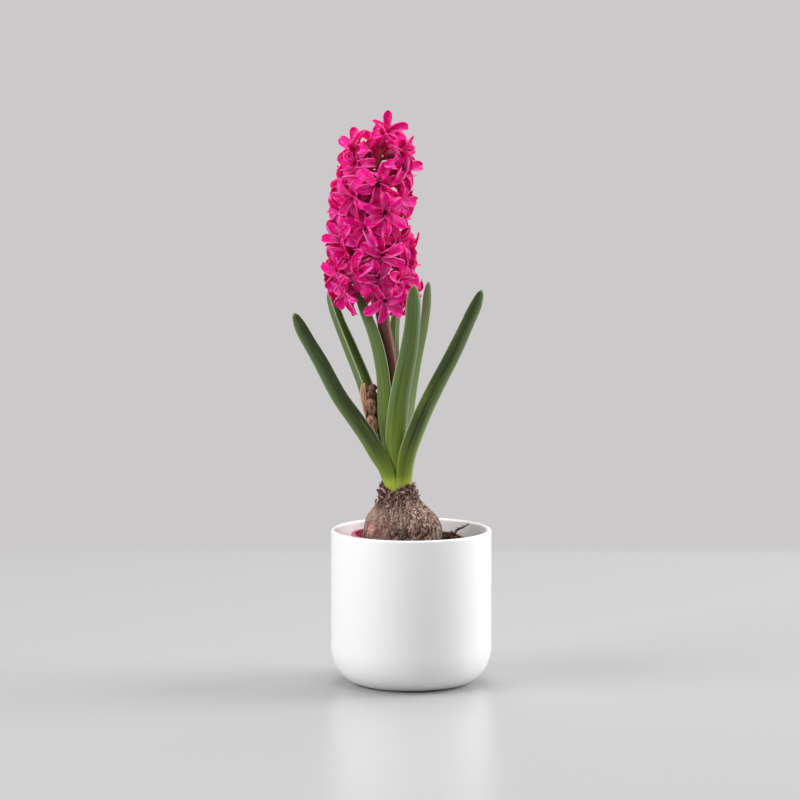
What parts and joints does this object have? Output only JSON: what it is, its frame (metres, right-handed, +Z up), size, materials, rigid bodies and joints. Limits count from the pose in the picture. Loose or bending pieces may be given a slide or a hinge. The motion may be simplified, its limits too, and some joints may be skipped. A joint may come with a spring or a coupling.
{
  "type": "potted hyacinth plant",
  "caption": "Flowering hyacinth with strap leaves, growing from a bulb in a nursery pot that stands inside a plain round white ceramic pot.",
  "frame": {"origin": "centre of the white pot's flat base, on the surface that it stands on", "axes": "+Z up along the plant, -Y towards the viewer of the picture, +X to the viewer's right"},
  "size_m": [0.1469, 0.12, 0.4281],
  "materials": {
    "white_ceramic": "satin",
    "pink_plastic": "satin",
    "potting_mix": "matte",
    "bulb_skin": "matte",
    "leaf": "satin",
    "stalk": "satin",
    "petal": "satin",
    "dry_bud": "matte",
    "dry_root": "matte"
  },
  "bodies": {
    "root": {"pot": "white_ceramic", "nursery_pot": "pink_plastic", "potting_mix": "potting_mix", "bulb": "bulb_skin", "leaf_1": "leaf", "leaf_2": "leaf", "leaf_3": "leaf", "leaf_4": "leaf", "leaf_5": "leaf", "leaf_6": "leaf", "leaf_7": "leaf", "flower_stalk": "stalk", "flower_head": "petal", "withered_spike": "dry_bud", "dry_root": "dry_root"}
  },
  "joints": []
}
